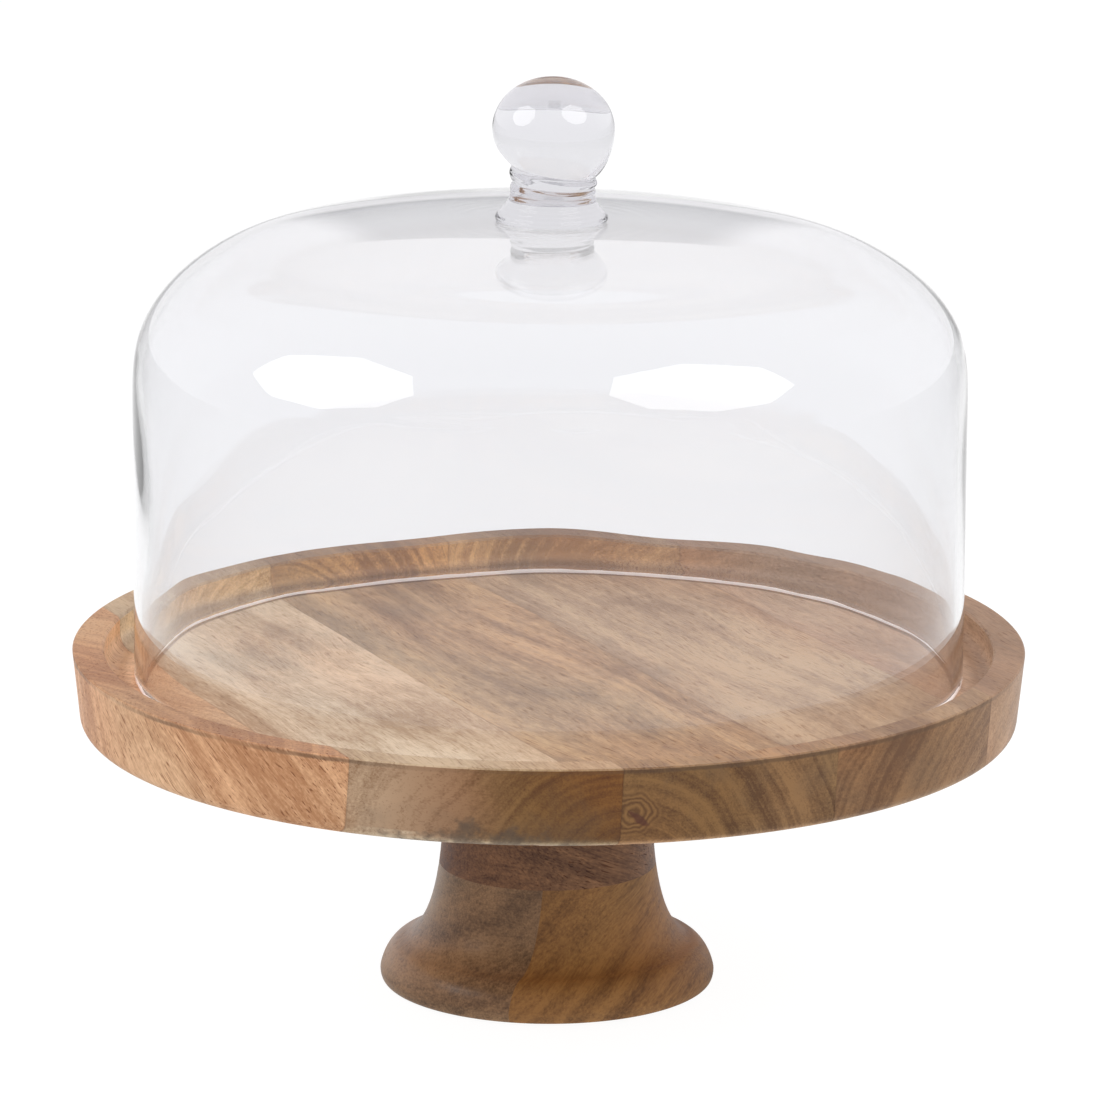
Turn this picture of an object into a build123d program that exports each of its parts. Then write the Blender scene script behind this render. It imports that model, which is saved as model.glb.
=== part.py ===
from build123d import *
import os
from math import acos, cos, degrees, radians, sin, tan

# Glass cake dome standing in the raised rim of a turned wooden pedestal stand.
# Millimetres, +Z up. The origin is on the surface that the stand rests on, on the axis of the turning.
# Every outline is drawn as (radius, height) and turned about Z.

# ---- driving dimensions: felt pads
PAD_THICKNESS = 1.5
PAD_RADIUS = 7.0
PAD_COUNT = 4
PAD_RING_RADIUS = 45.0

# ---- driving dimensions: planks
BOARD_WIDTH = 76.5  # every glued blank is made up from planks of this width
TRAY_BOARD_COUNT = 5
TRAY_GRAIN_TURN = 25.0  # degrees about Z from the grain running along Y
TRAY_FIRST_SEAM = -123.0  # first glue seam, measured across the grain from the axis
FOOT_GRAIN_TURN = -31.0

# ---- driving dimensions: foot and collar
FOOT_HEIGHT = 42.0
FOOT_BASE_RADIUS = 56.8
FOOT_RADIUS = 58.4
FOOT_TUCK_HEIGHT = 3.4  # quarter ellipse from the base out to the widest ring
TOE_RADIUS = 51.0  # where the rounded toe turns into the hollow sweep
TOE_HEIGHT = 13.9
TOE_SLOPE = 15.5
COLLAR_HEIGHT = 51.0
COLLAR_TOP_RADIUS = 37.9

# ---- driving dimensions: tray
TRAY_THICKNESS = 27.5
TRAY_TOP_RADIUS = 165.0
TRAY_BOTTOM_RADIUS = 162.2
TRAY_BOTTOM_ROUND = 4.7
RIM_WIDTH = 11.0
RECESS_DEPTH = 10.0
RECESS_COVE = 5.0
OUTER_ARRIS = 0.5  # narrow bevels taken off both edges of the rim's flat top
INNER_ARRIS = 0.8

# ---- driving dimensions: centre fastener (M8 x 90)
BOLT_LENGTH = 90.0
BOLT_RADIUS = 3.9
BOLT_HEAD_FLATS = 13.0
BOLT_HEAD_HEIGHT = 5.3
CLEARANCE_HOLE_RADIUS = 4.5
COUNTERBORE_RADIUS = 13.0
COUNTERBORE_DEPTH = 15.0
WASHER_RADIUS = 12.0
WASHER_THICKNESS = 2.0
INSERT_RADIUS = 6.0
INSERT_FLANGE_RADIUS = 8.0
INSERT_FLANGE_THICKNESS = 1.5
INSERT_LENGTH = 11.0
INSERT_BORE_RADIUS = 4.0
BOLT_TIP_CHAMFER = 1.0
BOLT_TIP_ROOM = 1.0

# ---- driving dimensions: glass dome, heights above the tray floor
GLASS_WALL = 4.0
DOME_RADIUS = 143.8
SHOULDER_START = 110.0
CROWN_EDGE_RADIUS = 104.6
CROWN_EDGE_HEIGHT = 150.6
CROWN_EDGE_SLOPE = 12.0
DOME_HEIGHT = 160.0
GROUND_ARRIS = 0.5

# ---- driving dimensions: glass knob, heights above the tray floor
BALL_RADIUS = 21.0
BALL_CENTRE_HEIGHT = 191.2
BALL_UPPER_HEIGHT = 17.8
BALL_LOWER_HEIGHT = 20.0
NECK_RADIUS = 14.5
NECK_BOTTOM_HEIGHT = 167.0
KNOB_PAD_RADIUS = 19.9
KNOB_PAD_HEIGHT = 160.6

# ---- heights that follow
FOOT_BASE = PAD_THICKNESS
COLLAR_BASE = FOOT_BASE + FOOT_HEIGHT
TRAY_BASE = COLLAR_BASE + COLLAR_HEIGHT
TRAY_TOP = TRAY_BASE + TRAY_THICKNESS
TRAY_FLOOR = TRAY_TOP - RECESS_DEPTH
COUNTERBORE_TOP = FOOT_BASE + COUNTERBORE_DEPTH
WASHER_BASE = COUNTERBORE_TOP - WASHER_THICKNESS
NECK_TOP = TRAY_FLOOR + BALL_CENTRE_HEIGHT - BALL_LOWER_HEIGHT * sin(acos(NECK_RADIUS / BALL_RADIUS))


def turned(*outline):
    """Solid of revolution about Z from the edges of a closed (radius, height) outline."""
    return revolve(Plane.XZ * make_face(outline), Axis.Z)


def oval_arc(centre, across, up, size):
    """Exact elliptical arc that leaves the widest point of an oval and climbs through size degrees."""
    half = radians(size / 2)
    widest = (centre[0] + across, centre[1])
    corner = (widest[0], centre[1] + up * tan(half))
    end = (centre[0] + across * cos(2 * half), centre[1] + up * sin(2 * half))
    return Bezier(widest, corner, end, weights=[1, cos(half), 1])


def round_bar(radius, bottom, top):
    """Upright cylinder on the axis between two heights."""
    return Pos(0, 0, bottom) * extrude(Circle(radius), top - bottom)


def plank(turn, near_seam, far_seam):
    """Tall slab on Z between two seams, which are measured across a grain turned about Z."""
    reach = 2 * TRAY_TOP_RADIUS
    middle = (near_seam + far_seam) / 2
    return Rot(0, 0, turn) * Pos(middle, 0, 0) * Box(far_seam - near_seam, 2 * reach, 2 * reach)


# ---------------------------------------------------------------- pedestal

def pedestal_blank():
    """Foot and collar as one turning, before it is parted into its blocks."""
    base = (FOOT_BASE_RADIUS, FOOT_BASE)
    widest = (FOOT_RADIUS, FOOT_BASE + FOOT_TUCK_HEIGHT)
    toe = (TOE_RADIUS, FOOT_BASE + TOE_HEIGHT)
    top = (COLLAR_TOP_RADIUS, TRAY_BASE)
    along = (cos(radians(TOE_SLOPE)), -sin(radians(TOE_SLOPE)))
    tuck_width = FOOT_RADIUS - FOOT_BASE_RADIUS
    tuck_handle = 1.0
    round_handle = 5.7
    sweep_handle = 14.9
    neck_handle = 33.5
    neck_lean = 3.4
    tuck = oval_arc((base[0], widest[1]), tuck_width, FOOT_TUCK_HEIGHT, -90)
    round_toe = Bezier(
        widest,
        (widest[0], widest[1] + tuck_handle),
        (toe[0] + round_handle * along[0], toe[1] + round_handle * along[1]),
        toe,
    )
    hollow_sweep = Bezier(
        toe,
        (toe[0] - sweep_handle * along[0], toe[1] - sweep_handle * along[1]),
        (top[0] - neck_lean, top[1] - neck_handle),
        top,
    )
    return turned(
        Line((0, FOOT_BASE), base),
        tuck,
        round_toe,
        hollow_sweep,
        Line(top, (0, TRAY_BASE)),
        Line((0, TRAY_BASE), (0, FOOT_BASE)),
    )


def bored(block):
    """A pedestal block with the clearance hole and the counterbore of the centre bolt."""
    hole = round_bar(CLEARANCE_HOLE_RADIUS, 0, TRAY_BASE)
    counterbore = round_bar(COUNTERBORE_RADIUS, 0, COUNTERBORE_TOP)
    return block - hole - counterbore


def pedestal_blocks():
    """Collar above, and the foot parted off the centre into its two glued planks."""
    blank = bored(pedestal_blank())
    parting = Plane.XY.offset(COLLAR_BASE)
    collar = split(blank, bisect_by=parting, keep=Keep.TOP)
    foot = split(blank, bisect_by=parting, keep=Keep.BOTTOM)
    seam = BOARD_WIDTH - FOOT_RADIUS
    main_block = foot & plank(FOOT_GRAIN_TURN, seam - BOARD_WIDTH, seam)
    side_block = foot & plank(FOOT_GRAIN_TURN, seam, FOOT_RADIUS)
    return {"collar": collar, "foot_main_block": main_block, "foot_side_block": side_block}


def felt_pads():
    """Thin felt discs spaced evenly round the underside of the foot."""
    disc = extrude(Circle(PAD_RADIUS), PAD_THICKNESS)
    spots = PolarLocations(PAD_RING_RADIUS, PAD_COUNT, start_angle=180 / PAD_COUNT)
    return {f"felt_pad_{number}": spot * disc for number, spot in enumerate(spots, start=1)}


# ---------------------------------------------------------------- centre fastener

def centre_bolt():
    """Hexagon head bolt, head down in the counterbore, tip in the threaded insert."""
    head = Pos(0, 0, WASHER_BASE - BOLT_HEAD_HEIGHT) * extrude(
        RegularPolygon(BOLT_HEAD_FLATS / 2, 6, major_radius=False), BOLT_HEAD_HEIGHT
    )
    shank = round_bar(BOLT_RADIUS, WASHER_BASE, WASHER_BASE + BOLT_LENGTH)
    return head + chamfer(shank.edges().group_by(Axis.Z)[-1], BOLT_TIP_CHAMFER)


def bolt_washer():
    """Wide flat washer between the bolt's head and the roof of the counterbore."""
    disc = round_bar(WASHER_RADIUS, WASHER_BASE, COUNTERBORE_TOP)
    return disc - round_bar(CLEARANCE_HOLE_RADIUS, WASHER_BASE, COUNTERBORE_TOP)


def insert_blank():
    """Outside of the threaded insert, which is also the pocket that it fills."""
    flange = round_bar(INSERT_FLANGE_RADIUS, TRAY_BASE, TRAY_BASE + INSERT_FLANGE_THICKNESS)
    return flange + round_bar(INSERT_RADIUS, TRAY_BASE, TRAY_BASE + INSERT_LENGTH)


def threaded_insert():
    """Flanged wood insert, open through its middle."""
    return insert_blank() - round_bar(INSERT_BORE_RADIUS, TRAY_BASE, TRAY_BASE + INSERT_LENGTH)


# ---------------------------------------------------------------- tray

def tray_blank():
    """Round tray with a raised rim, a coved recess and a slightly tapered side."""
    rim_inside = TRAY_TOP_RADIUS - RIM_WIDTH
    corners = {
        (TRAY_BOTTOM_RADIUS, TRAY_BASE): TRAY_BOTTOM_ROUND,
        (TRAY_TOP_RADIUS, TRAY_TOP - OUTER_ARRIS): 0,
        (TRAY_TOP_RADIUS - OUTER_ARRIS, TRAY_TOP): 0,
        (rim_inside + INNER_ARRIS, TRAY_TOP): 0,
        (rim_inside, TRAY_TOP - INNER_ARRIS): 0,
        (rim_inside, TRAY_FLOOR): RECESS_COVE,
    }
    outline = FilletPolyline(
        (0, TRAY_BASE), *corners, (0, TRAY_FLOOR), radius=[0, *corners.values(), 0], close=True
    )
    tip_room = round_bar(INSERT_BORE_RADIUS, TRAY_BASE, TRAY_BASE + INSERT_LENGTH + BOLT_TIP_ROOM)
    pocket = insert_blank() + tip_room
    return turned(*outline.edges()) - pocket


def tray_boards():
    """The tray parted at its glue seams into parallel boards."""
    blank = tray_blank()
    inner_seams = [TRAY_FIRST_SEAM + BOARD_WIDTH * step for step in range(TRAY_BOARD_COUNT - 1)]
    seams = [-TRAY_TOP_RADIUS, *inner_seams, TRAY_TOP_RADIUS]
    return {
        f"tray_board_{step + 1}": blank & plank(TRAY_GRAIN_TURN, seams[step], seams[step + 1])
        for step in range(TRAY_BOARD_COUNT)
    }


# ---------------------------------------------------------------- glass

def dome_curve(inset):
    """Wall, shoulder and crown of the dome moved inwards by inset, from the ground rim up to the axis."""
    slope = radians(CROWN_EDGE_SLOPE)
    along = (cos(slope), -sin(slope))
    shrink = 1 - inset / (DOME_RADIUS - CROWN_EDGE_RADIUS)
    wall_handle = 23.8 * shrink
    shoulder_handle = 10.0 * shrink
    crown_handle = 30.0
    centre_handle = 45.0
    foot = (DOME_RADIUS - inset, TRAY_FLOOR)
    spring = (foot[0], TRAY_FLOOR + SHOULDER_START)
    edge = (
        CROWN_EDGE_RADIUS - inset * sin(slope),
        TRAY_FLOOR + CROWN_EDGE_HEIGHT - inset * cos(slope),
    )
    top = (0, TRAY_FLOOR + DOME_HEIGHT - inset)
    wall = Line(foot, spring)
    shoulder = Bezier(
        spring,
        (spring[0], spring[1] + wall_handle),
        (edge[0] + shoulder_handle * along[0], edge[1] + shoulder_handle * along[1]),
        edge,
    )
    crown = Bezier(
        edge,
        (edge[0] - crown_handle * along[0], edge[1] - crown_handle * along[1]),
        (centre_handle, top[1]),
        top,
    )
    return wall, shoulder, crown


def dome_filled():
    """Everything inside the outer surface of the dome."""
    top = (0, TRAY_FLOOR + DOME_HEIGHT)
    foot = (DOME_RADIUS, TRAY_FLOOR)
    return turned(*dome_curve(0), Line(top, (0, TRAY_FLOOR)), Line((0, TRAY_FLOOR), foot))


def dome_shell():
    """Blown bell with an even wall and a flat ground rim, whose two arrises are taken off."""
    outer_top = TRAY_FLOOR + DOME_HEIGHT
    shell = turned(
        *dome_curve(0),
        Line((0, outer_top), (0, outer_top - GLASS_WALL)),
        *dome_curve(GLASS_WALL),
        Line((DOME_RADIUS - GLASS_WALL, TRAY_FLOOR), (DOME_RADIUS, TRAY_FLOOR)),
    )
    return chamfer(shell.edges().group_by(Axis.Z)[0], GROUND_ARRIS)


def knob_neck():
    """Gather of glass between crown and ball: a straight neck that flares into a rounded pad."""
    neck_bottom = (NECK_RADIUS, TRAY_FLOOR + NECK_BOTTOM_HEIGHT)
    pad_edge = (KNOB_PAD_RADIUS, TRAY_FLOOR + KNOB_PAD_HEIGHT)
    pad_foot_depth = 2.5
    flare_handle = 3.0
    pad_foot = (KNOB_PAD_RADIUS - pad_foot_depth, pad_edge[1] - pad_foot_depth)
    flare = Bezier(
        neck_bottom,
        (NECK_RADIUS, neck_bottom[1] - flare_handle),
        (KNOB_PAD_RADIUS, pad_edge[1] + flare_handle),
        pad_edge,
    )
    blank = turned(
        Line((0, NECK_TOP), (NECK_RADIUS, NECK_TOP)),
        Line((NECK_RADIUS, NECK_TOP), neck_bottom),
        flare,
        RadiusArc(pad_edge, pad_foot, -pad_foot_depth),
        Line(pad_foot, (0, pad_foot[1])),
        Line((0, pad_foot[1]), (0, NECK_TOP)),
    )
    return blank - dome_filled()


def knob_ball():
    """Solid glass ball, a little flattened on top and cut off flat where it joins the neck."""
    centre = (0, TRAY_FLOOR + BALL_CENTRE_HEIGHT)
    top = (0, centre[1] + BALL_UPPER_HEIGHT)
    neck_angle = degrees(acos(NECK_RADIUS / BALL_RADIUS))
    return turned(
        oval_arc(centre, BALL_RADIUS, BALL_UPPER_HEIGHT, 90),
        oval_arc(centre, BALL_RADIUS, BALL_LOWER_HEIGHT, -neck_angle),
        Line((NECK_RADIUS, NECK_TOP), (0, NECK_TOP)),
        Line((0, NECK_TOP), top),
    )


# ---------------------------------------------------------------- write one file per node

nodes = {
    **felt_pads(),
    **pedestal_blocks(),
    "centre_bolt": centre_bolt(),
    "bolt_washer": bolt_washer(),
    "threaded_insert": threaded_insert(),
    **tray_boards(),
    "dome_shell": dome_shell(),
    "knob_neck": knob_neck(),
    "knob_ball": knob_ball(),
}

os.makedirs("parts", exist_ok=True)
for name, shape in nodes.items():
    export_step(shape, f"parts/{name}.step")
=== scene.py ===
import math

import bmesh
import bpy
from mathutils import Euler, Matrix, Vector, noise


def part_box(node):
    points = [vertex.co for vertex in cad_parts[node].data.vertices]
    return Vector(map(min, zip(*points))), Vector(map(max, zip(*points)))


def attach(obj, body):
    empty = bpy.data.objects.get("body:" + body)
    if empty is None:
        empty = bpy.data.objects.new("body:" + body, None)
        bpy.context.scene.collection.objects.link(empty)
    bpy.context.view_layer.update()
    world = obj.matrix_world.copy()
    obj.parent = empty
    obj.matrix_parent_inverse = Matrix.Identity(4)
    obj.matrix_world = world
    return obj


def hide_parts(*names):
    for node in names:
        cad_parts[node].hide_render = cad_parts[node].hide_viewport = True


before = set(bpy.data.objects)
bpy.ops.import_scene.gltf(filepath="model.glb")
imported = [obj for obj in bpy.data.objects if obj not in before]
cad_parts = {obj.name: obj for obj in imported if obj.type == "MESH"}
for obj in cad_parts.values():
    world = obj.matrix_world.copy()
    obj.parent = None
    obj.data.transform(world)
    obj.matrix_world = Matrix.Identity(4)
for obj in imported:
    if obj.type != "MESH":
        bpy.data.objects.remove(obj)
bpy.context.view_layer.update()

# Looks of the glass cake dome on its turned mango-wood stand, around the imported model.
# Metres, +Z up, the frame of the CAD model. The colours are linear RGB.

MM = 0.001

# ---- places read from the frame
SHELL_LOW, SHELL_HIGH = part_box("dome_shell")
BALL_LOW, BALL_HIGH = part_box("knob_ball")
TRAY_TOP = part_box("tray_board_3")[1].z
TRAY_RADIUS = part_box("tray_board_5")[1].x
TRAY_FLOOR = SHELL_LOW.z
DOME_RADIUS = SHELL_HIGH.x
CROWN_TOP = SHELL_HIGH.z
BALL_RADIUS = BALL_HIGH.x
PAD_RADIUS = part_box("knob_neck")[1].x
NECK_TOP = BALL_LOW.z

GLASS_WALL = 4.0 * MM  # its thickness

# ---- camera, at the photograph's viewing angle
CAMERA_BACK = 2.5
CAMERA_HEIGHT = 0.77057
CAMERA_SIDE = 0.00025
CAMERA_PITCH = math.radians(13.83)
CAMERA_ROLL = 0.0055  # radians
CAMERA_LENS = 243.6  # millimetres


# ---------------------------------------------------------------- small tools for shapes

ON_AXIS = 1e-7  # an outline's point nearer than this to the axis lies on it


def bezier(start, start_handle, end_handle, end, steps):
    """Points of a cubic curve in the (radius, height) plane, its start left out."""
    points = []
    for step in range(1, steps + 1):
        t = step / steps
        weights = ((1 - t) ** 3, 3 * t * (1 - t) ** 2, 3 * t * t * (1 - t), t**3)
        corners = (start, start_handle, end_handle, end)
        points.append(tuple(sum(w * c[axis] for w, c in zip(weights, corners)) for axis in (0, 1)))
    return points


def straight(start, end, steps):
    """Evenly spaced points of a straight stretch, its start left out."""
    return [
        (
            start[0] + (end[0] - start[0]) * step / steps,
            start[1] + (end[1] - start[1]) * step / steps,
        )
        for step in range(1, steps + 1)
    ]


def smooth(low, high, value):
    """0 below low, 1 above high and an S-curve between them."""
    t = min(max((value - low) / (high - low), 0.0), 1.0)
    return t * t * (3 - 2 * t)


def eased(points, rounds):
    """Outline with its changes of curvature softened; the two ends stay."""
    for _ in range(rounds):
        middle = [
            tuple((before[axis] + 2 * point[axis] + after[axis]) / 4 for axis in (0, 1))
            for before, point, after in zip(points, points[1:], points[2:])
        ]
        points = [points[0]] + middle + [points[-1]]
    return points


def lathe(name, outline, segments, place, slots, slot_of):
    """Closed solid of revolution from an outline that starts and ends on the axis.
    place(radius, height, angle) gives each point, and slot_of each ring's material slot."""
    mesh = bmesh.new()
    rings = []
    for radius, height in outline:
        count = 1 if radius < ON_AXIS else segments
        angles = [math.tau * i / segments for i in range(count)]
        rings.append([mesh.verts.new(place(radius, height, angle)) for angle in angles])
    for (upper, lower), (start, end) in zip(zip(rings, rings[1:]), zip(outline, outline[1:])):
        slot = slot_of((start[0] + end[0]) / 2, (start[1] + end[1]) / 2)
        for i in range(segments):
            following = (i + 1) % segments
            around = [upper[i % len(upper)], lower[i % len(lower)]]
            around += [lower[following % len(lower)], upper[following % len(upper)]]
            face = mesh.faces.new(list(dict.fromkeys(around)))
            face.material_index = slot
            face.smooth = True
    bmesh.ops.recalc_face_normals(mesh, faces=mesh.faces)
    data = bpy.data.meshes.new(name)
    mesh.to_mesh(data)
    mesh.free()
    piece = bpy.data.objects.new(name, data)
    bpy.context.scene.collection.objects.link(piece)
    for material in slots:
        data.materials.append(material)
    return piece


# ---------------------------------------------------------------- small tools for materials

class Recipe:
    """The node tree of a material, or another tree, built by short calls. Lengths are metres."""

    def __init__(self, name, tree=None):
        if tree is None:
            self.material = bpy.data.materials.new(name)
            self.material.use_nodes = True
            tree = self.material.node_tree
        self.tree = tree
        self.tree.nodes.clear()
        place = self.add("ShaderNodeTexCoord")
        self.place = place.outputs["Object"]
        self.normal = place.outputs["Normal"]

    def add(self, kind, inputs=None, **settings):
        node = self.tree.nodes.new(kind)
        for key, value in settings.items():
            setattr(node, key, value)
        for key, value in (inputs or {}).items():
            if isinstance(value, bpy.types.NodeSocket):
                self.tree.links.new(value, node.inputs[key])
            else:
                node.inputs[key].default_value = value
        return node

    def maths(self, operation, first, second=0.0, third=0.0):
        node = self.add("ShaderNodeMath", {0: first, 1: second, 2: third}, operation=operation)
        return node.outputs[0]

    def apart(self, first, second):
        """Distance between two values."""
        return self.maths("ABSOLUTE", self.maths("SUBTRACT", first, second))

    def length(self, first, second):
        """Length of the vector that has these two parts."""
        squares = [self.maths("MULTIPLY", part, part) for part in (first, second)]
        return self.maths("SQRT", self.maths("ADD", *squares))

    def off_axis(self):
        """Distance from the axis of the stand, and height."""
        x, y, z = self.parts(self.place)
        return self.length(x, y), z

    def turned(self, place, angles, shift=(0, 0, 0), scale=(1, 1, 1)):
        """Scaled, then turned about X, Y and Z in that order, then shifted."""
        inputs = {"Vector": place, "Location": shift, "Rotation": angles, "Scale": scale}
        return self.add("ShaderNodeMapping", inputs).outputs[0]

    def stretched(self, place, share, shift=(0, 0, 0)):
        """Y shrunk to a share, so that what is read there comes out drawn out along Y."""
        return self.turned(place, (0, 0, 0), shift, (1, share, 1))

    def parts(self, place):
        return self.add("ShaderNodeSeparateXYZ", {0: place}).outputs

    def joined(self, x, y, z):
        return self.add("ShaderNodeCombineXYZ", {0: x, 1: y, 2: z}).outputs[0]

    def noise(self, place, scale, detail=2.0, roughness=0.5, distortion=0.0):
        inputs = {
            "Vector": place,
            "Scale": scale,
            "Detail": detail,
            "Roughness": roughness,
            "Distortion": distortion,
        }
        return self.add("ShaderNodeTexNoise", inputs).outputs[0]

    def wobble(self, place, scale, detail, depth, roughness=0.5):
        """Noise about zero, its whole range as deep as depth."""
        there = self.noise(place, scale, detail, roughness)
        return self.maths("MULTIPLY_ADD", there, depth, -depth / 2)

    def band(self, value, low, high, start=0.0, end=1.0):
        """Smooth step from start to end as value goes from low to high."""
        inputs = {"Value": value, "From Min": low, "From Max": high, "To Min": start, "To Max": end}
        return self.add("ShaderNodeMapRange", inputs, interpolation_type="SMOOTHSTEP").outputs[0]

    def mix(self, share, first, second, blend="MIX"):
        """Colour mix; first and second are colours or sockets."""
        inputs = {0: share, 6: first, 7: second}
        return self.add("ShaderNodeMix", inputs, data_type="RGBA", blend_type=blend).outputs[2]

    def tinted(self, share, colour, tint):
        """Colour, multiplied by the tint where share is 1."""
        return self.mix(share, colour, self.mix(1.0, colour, rgba(tint), "MULTIPLY"))

    def bump(self, height, distance, strength):
        inputs = {"Height": height, "Distance": distance, "Strength": strength}
        return self.add("ShaderNodeBump", inputs).outputs[0]

    def glow(self, strength):
        """White light of its own."""
        inputs = {"Color": rgba((1.0, 1.0, 1.0)), "Strength": strength}
        return self.add("ShaderNodeEmission", inputs).outputs[0]

    def finish(self, shader):
        self.add("ShaderNodeOutputMaterial", {"Surface": shader})
        return self.material

    def principled(self, inputs):
        return self.finish(self.add("ShaderNodeBsdfPrincipled", inputs).outputs[0])


def rgba(colour, share=1.0):
    return (*(part * share for part in colour), 1.0)


# ---------------------------------------------------------------- wood

WOOD_IOR = 1.42
WARM_TINT = (1.06, 0.95, 0.88)
PORE_TINT = (0.50, 0.38, 0.30)
STAIN_COLOUR = (0.085, 0.06, 0.042)
CRACK_COLOUR = (0.10, 0.030, 0.014)
# colour of the darker line just below the rim's outer top edge
EDGE_LINE_COLOUR = (0.10, 0.055, 0.028)
# Darkens the glue lines, and also paints the contact shadow in a ring where the glass stands
SEAM_AND_SHADOW_TINT = (0.45, 0.36, 0.28)
LAND_TINT = (0.74, 0.68, 0.61)  # the flat top of the rim, darkened by handling
INNER_WALL_TINT = (1.50, 1.36, 1.00)  # end grain of the tray's inner wall, which oil has turned golden

TRAY_TURN = 25.0  # degrees about Z
FOOT_TURN = -31.0
COLLAR_TURN = -52.0
SEAM_PLACE = 30 * MM  # one glue seam, across the grain from the axis of the tray
SEAM_PITCH = 76.5 * MM
HEART_CENTRE = -45 * MM  # across the tray's grain from its axis
HEART_HALF_WIDTH = 42 * MM

KNOT_CORE = 6 * MM  # the knot's rings fade out from here
KNOT_REACH = 13 * MM  # to here
KNOT_DEPTH = 40 * MM
KNOT_RING_PITCH = 2.3 * MM
KNOT_FLATNESS = 1.25
CRACK_SLANT = math.radians(-38)
CRACK_SHIFT = 3 * MM  # of its middle from the knot's, along its own slant
SMUDGE_HALF_HEIGHT = 8 * MM


class Smudge:
    """Dark stain on the front of the rim."""

    def __init__(self, x, half_width, z):
        self.x = x
        self.half_width = half_width
        self.z = z


class Timber:
    """Colours and figure of one piece of wood. Angles in degrees, lengths in metres."""

    def __init__(self, light, dark, turn, **figure):
        self.light = light
        self.dark = dark
        self.turn = turn  # of the grain about Z, from lying along Y
        self.dive = figure.get("dive", 0.0)  # of the grain below level
        self.pith = figure["pith"]  # across the grain and up, from the axis of the stand
        self.seed = figure["seed"]
        self.rings = figure["rings"]
        self.end_rings = figure.get("end_rings", 0.0)  # extra depth of the rings on end grain
        self.blotches = figure["blotches"]
        self.pores = figure["pores"]
        self.pore_reach = figure.get("pore_reach", 0.07)  # smaller is longer
        self.stain = figure.get("stain", 0.0)
        self.end_tint = figure["end_tint"]
        self.heart_tint = figure.get("heart_tint")  # extra, where the heartwood's ends show
        self.roughness = figure.get("roughness", 0.36)
        self.knot = figure.get("knot")  # centre of a knot, in the frame
        self.smudge = figure.get("smudge")


class Figure:
    """The noises and masks that the look of one piece of wood is made of."""

    def __init__(self, recipe, timber):
        bent, self.dived = grain_frame(recipe, timber)
        self.broad, self.narrow = growth_rings(recipe, timber, bent)
        self.fibre = recipe.noise(recipe.stretched(bent, 0.09), 1500.0, 3.0, 0.6)
        self.silk = recipe.noise(recipe.stretched(bent, 0.16), 260.0, 4.0, 0.65)
        self.blotch = recipe.noise(recipe.stretched(self.dived, 0.5, (7, 3, 1)), 17.0, 5.0, 0.6, 0.5)
        self.hue = recipe.noise(recipe.stretched(self.dived, 0.4, (1, 9, 4)), 13.0, 2.0)
        self.speckle = recipe.noise(self.dived, 700.0, 2.0, 0.6)
        self.radius, height = recipe.off_axis()
        self.tool_marks = recipe.noise(recipe.joined(self.radius, 0.0, height), 900.0, 2.0, 0.6)
        self.ends = end_grain(recipe, timber)
        pore_noise = recipe.noise(recipe.stretched(bent, timber.pore_reach, (5, 0, 3)), 1500.0, 1.0, 0.4)
        fewer_on_ends = recipe.maths("MULTIPLY_ADD", self.ends, -0.6, 1.0)
        self.pores = recipe.maths("MULTIPLY", recipe.band(pore_noise, 0.61, 0.70), fewer_on_ends)
        if timber.knot is not None:
            self.near_knot, self.knot_rings, self.crack = knot_field(recipe, timber.knot)


def grain_frame(recipe, timber):
    """Object space turned so that the grain runs along Y: with a slow natural bend, and without it."""
    turned = recipe.turned(recipe.place, (0, 0, math.radians(-timber.turn)))
    dived = recipe.turned(turned, (math.radians(timber.dive), 0, 0), (0, 0, timber.seed))
    sway = recipe.wobble(recipe.stretched(dived, 0.45), 11.0, 2.0, 34 * MM)
    wander = recipe.wobble(recipe.stretched(dived, 0.3, (3, 1, 2)), 45.0, 2.0, 5 * MM)
    x, y, z = recipe.parts(dived)
    bend = recipe.maths("ADD", sway, wander)
    return recipe.joined(recipe.maths("ADD", x, bend), y, z), dived


def growth_rings(recipe, timber, bent):
    """Irregular bands round the pith line, drawn out along the grain."""
    x, y, z = recipe.parts(bent)
    across = recipe.maths("SUBTRACT", x, timber.pith[0])
    height = recipe.maths("SUBTRACT", z, timber.pith[1] + timber.seed)
    distance = recipe.length(across, height)
    line = recipe.joined(distance, recipe.maths("MULTIPLY", y, 0.035), timber.seed)
    broad = recipe.noise(line, 95.0, 2.0, 0.55)
    narrow = recipe.noise(line, 420.0, 3.0, 0.6)
    return broad, narrow


def end_grain(recipe, timber):
    """1 where the surface cuts across the fibres, 0 where it runs along them."""
    turn = Matrix.Rotation(math.radians(timber.turn), 3, "Z")
    dive = Matrix.Rotation(math.radians(-timber.dive), 3, "X")
    along = turn @ dive @ Vector((0, 1, 0))
    cosine = recipe.add("ShaderNodeVectorMath", {0: recipe.normal, 1: along}, operation="DOT_PRODUCT")
    return recipe.band(recipe.maths("ABSOLUTE", cosine.outputs["Value"]), 0.45, 0.95)


def heartwood(recipe, timber):
    """1 in the middle of the dark heart, which runs through several boards side by side."""
    x, _, _ = recipe.parts(recipe.turned(recipe.place, (0, 0, math.radians(-timber.turn))))
    ragged = recipe.wobble(recipe.place, 38.0, 3.0, 30 * MM)
    aside = recipe.apart(recipe.maths("ADD", x, ragged), HEART_CENTRE)
    return recipe.band(aside, HEART_HALF_WIDTH * 0.6, HEART_HALF_WIDTH * 1.3, 1.0, 0.0)


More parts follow.
